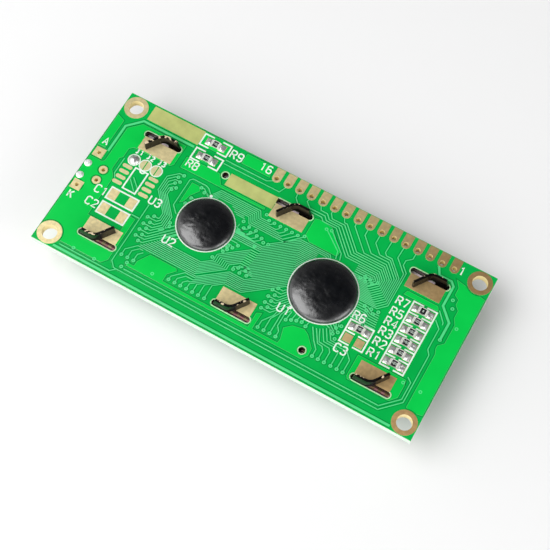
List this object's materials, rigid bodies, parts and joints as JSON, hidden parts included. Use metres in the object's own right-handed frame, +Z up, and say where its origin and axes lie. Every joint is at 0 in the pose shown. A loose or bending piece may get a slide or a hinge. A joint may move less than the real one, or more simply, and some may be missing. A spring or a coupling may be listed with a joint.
{
  "type": "character lcd module",
  "caption": "Two-line character display lying on its metal bezel: green circuit board, sealed black chips, edge header holes and twisted steel tabs.",
  "frame": {"origin": "centre of the circuit board's outline, on the surface that the bezel's face lies on", "axes": "+X along the row of header holes towards the first hole, +Y towards that row, +Z up out of the component side"},
  "size_m": [0.08, 0.036, 0.0109],
  "materials": {
    "board_laminate": "glossy green solder mask over copper and pale glass-epoxy laminate",
    "blackened_steel": "black-coated thin steel with bare sheared edges",
    "polariser_film": "smooth dark blue film",
    "cell_glass": "clear thin soda glass",
    "display_blue": "blue liquid crystal layer",
    "seal_resin": "pale epoxy seal",
    "white_film": "matt white film",
    "clear_acrylic": "clear moulded acrylic",
    "white_plastic": "matt white moulded plastic",
    "lamp_resin": "yellow phosphor resin",
    "tinned_copper": "tin plating",
    "solder": "bright solder, slightly uneven",
    "pink_silicone": "soft pink silicone",
    "carbon_silicone": "black conducting silicone",
    "gold_land": "thin gold over copper, satin",
    "masked_gold": "gold plate, greenish, satin",
    "black_epoxy": "glossy black epoxy with a fine wrinkled skin",
    "white_alumina": "white ceramic",
    "black_glaze": "black glass coat",
    "white_ink": "printed white ink"
  },
  "bodies": {
    "root": {"circuit_board": "board_laminate", "metal_bezel": "blackened_steel", "front_polariser": "polariser_film", "front_glass": "cell_glass", "liquid_crystal": "display_blue", "cell_seal": "seal_resin", "rear_glass": "cell_glass", "rear_polariser": "polariser_film", "diffuser_film": "white_film", "light_guide": "clear_acrylic", "reflector_film": "white_film", "backlight_housing": "white_plastic", "lamp_strip": "board_laminate", "backlight_lamps": "lamp_resin", "backlight_legs": "tinned_copper", "leg_solder": "solder", "contact_strip_header_side": "pink_silicone", "contact_strip_far_side": "pink_silicone", "contact_cores": "carbon_silicone", "contact_fingers": "gold_land", "epoxy_cap_large": "black_epoxy", "epoxy_cap_small": "black_epoxy", "resistor_bodies": "white_alumina", "resistor_coats": "black_glaze", "resistor_end_caps": "tinned_copper", "resistor_lands": "gold_land", "resistor_solder": "solder", "board_header_lands": "gold_land", "mounting_lands": "gold_land", "tab_lands": "gold_land", "capacitor_lands": "gold_land", "driver_lands": "gold_land", "link_lands": "gold_land", "link_solder": "solder", "backlight_lands": "gold_land", "blank_plates": "masked_gold", "legend": "white_ink"}
  },
  "joints": []
}
